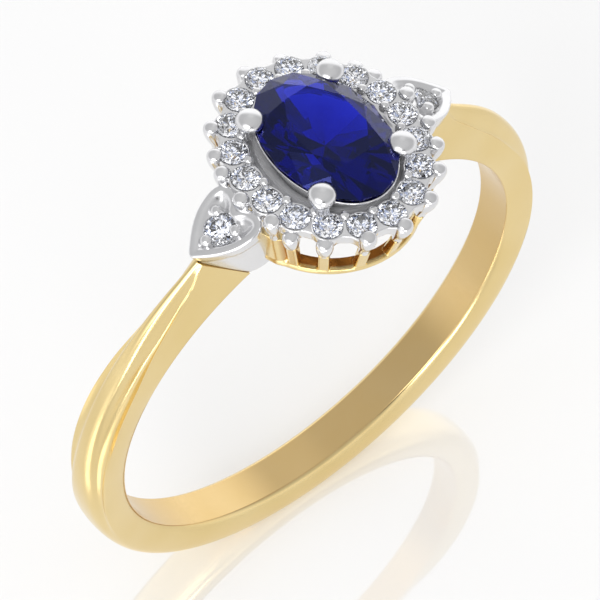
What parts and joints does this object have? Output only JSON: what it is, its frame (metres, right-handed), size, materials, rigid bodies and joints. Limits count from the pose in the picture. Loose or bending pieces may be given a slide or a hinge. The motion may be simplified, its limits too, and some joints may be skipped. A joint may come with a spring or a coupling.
{
  "type": "engagement ring",
  "caption": "Finger ring with an oval blue centre stone, a halo of round clear stones on a claw gallery, and heart-shaped white-gold shoulders on a yellow-gold band.",
  "frame": {"origin": "centre of the finger hole", "axes": "+Y along the finger, +X across the shoulders towards the right heart, +Z from the finger hole up through the centre stone"},
  "size_m": [0.0202, 0.0084, 0.0225],
  "materials": {
    "yellow_gold": "high polish yellow gold",
    "white_gold": "high polish rhodium-plated white gold",
    "sapphire": "faceted deep blue stone",
    "diamond": "faceted clear stone"
  },
  "bodies": {
    "root": {"centre_claw_back_left": "white_gold", "centre_claw_back_right": "white_gold", "centre_claw_front_left": "white_gold", "centre_claw_front_right": "white_gold", "centre_sapphire": "sapphire", "centre_setting": "white_gold", "gallery": "yellow_gold", "halo_claws": "white_gold", "halo_diamond_01": "diamond", "halo_diamond_02": "diamond", "halo_diamond_03": "diamond", "halo_diamond_04": "diamond", "halo_diamond_05": "diamond", "halo_diamond_06": "diamond", "halo_diamond_07": "diamond", "halo_diamond_08": "diamond", "halo_diamond_09": "diamond", "halo_diamond_10": "diamond", "halo_diamond_11": "diamond", "halo_diamond_12": "diamond", "halo_diamond_13": "diamond", "halo_diamond_14": "diamond", "halo_diamond_15": "diamond", "halo_diamond_16": "diamond", "halo_diamond_17": "diamond", "halo_diamond_18": "diamond", "halo_inner_beads": "white_gold", "halo_setting": "white_gold", "heart_claws_left": "white_gold", "heart_claws_right": "white_gold", "heart_diamond_left": "diamond", "heart_diamond_right": "diamond", "heart_setting_left": "white_gold", "heart_setting_right": "white_gold", "shank": "yellow_gold"}
  },
  "joints": []
}
